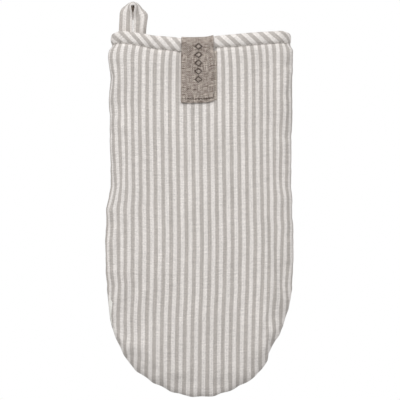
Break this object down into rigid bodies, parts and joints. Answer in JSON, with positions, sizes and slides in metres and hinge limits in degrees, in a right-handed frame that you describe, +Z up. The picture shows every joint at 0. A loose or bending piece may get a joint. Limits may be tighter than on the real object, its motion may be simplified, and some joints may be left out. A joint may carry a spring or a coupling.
{
  "type": "oven mitt",
  "caption": "Quilted oven mitt without a thumb, a striped linen bag with a bound cuff, a woven label, a pocket for the hand and a hanging loop.",
  "frame": {"origin": "on the surface that the mitt lies on, under the middle of its outline with the loop", "axes": "+Z up through the front, where the label is; +Y along the mitt, out of the cuff towards the loop; +X to the right seen from the front"},
  "size_m": [0.168, 0.356, 0.0321],
  "materials": {
    "striped_linen": "matt plain weave, woven stripes of off-white and grey",
    "bias_linen": "the same striped cloth cut on the bias",
    "wadding": "soft white batting",
    "lining_cotton": "matt unbleached cotton",
    "label_tape": "coarse natural linen tape",
    "dark_thread": "dark brown sewing thread",
    "pale_thread": "off-white sewing thread"
  },
  "bodies": {
    "hand_part": {"front_shell_hand": "striped_linen", "back_shell_hand": "striped_linen", "front_wadding_hand": "wadding", "back_wadding_hand": "wadding", "front_lining_hand": "lining_cotton", "back_lining_hand": "lining_cotton", "shell_seam_hand": "pale_thread", "lining_seam_hand": "pale_thread", "cuff_binding": "bias_linen", "binding_stitches": "pale_thread", "woven_label": "label_tape", "label_stitches": "dark_thread", "loop_ends": "striped_linen", "loop_tack": "pale_thread"},
    "finger_part": {"front_shell_fingers": "striped_linen", "back_shell_fingers": "striped_linen", "front_wadding_fingers": "wadding", "back_wadding_fingers": "wadding", "front_lining_fingers": "lining_cotton", "back_lining_fingers": "lining_cotton", "shell_seam_fingers": "pale_thread", "lining_seam_fingers": "pale_thread"},
    "loop": {"hanging_loop": "striped_linen"}
  },
  "joints": [
    {"name": "knuckle_fold", "type": "hinge", "parent": "hand_part", "child": "finger_part", "pos_m": [0, -0.048, 0.015], "axis": [-1, 0, 0], "range_deg": [0, 70]},
    {"name": "loop_swing", "type": "hinge", "parent": "hand_part", "child": "loop", "pos_m": [-0.0595, 0.153, 0.0128], "axis": [1, 0, 0], "range_deg": [-15, 90]}
  ]
}
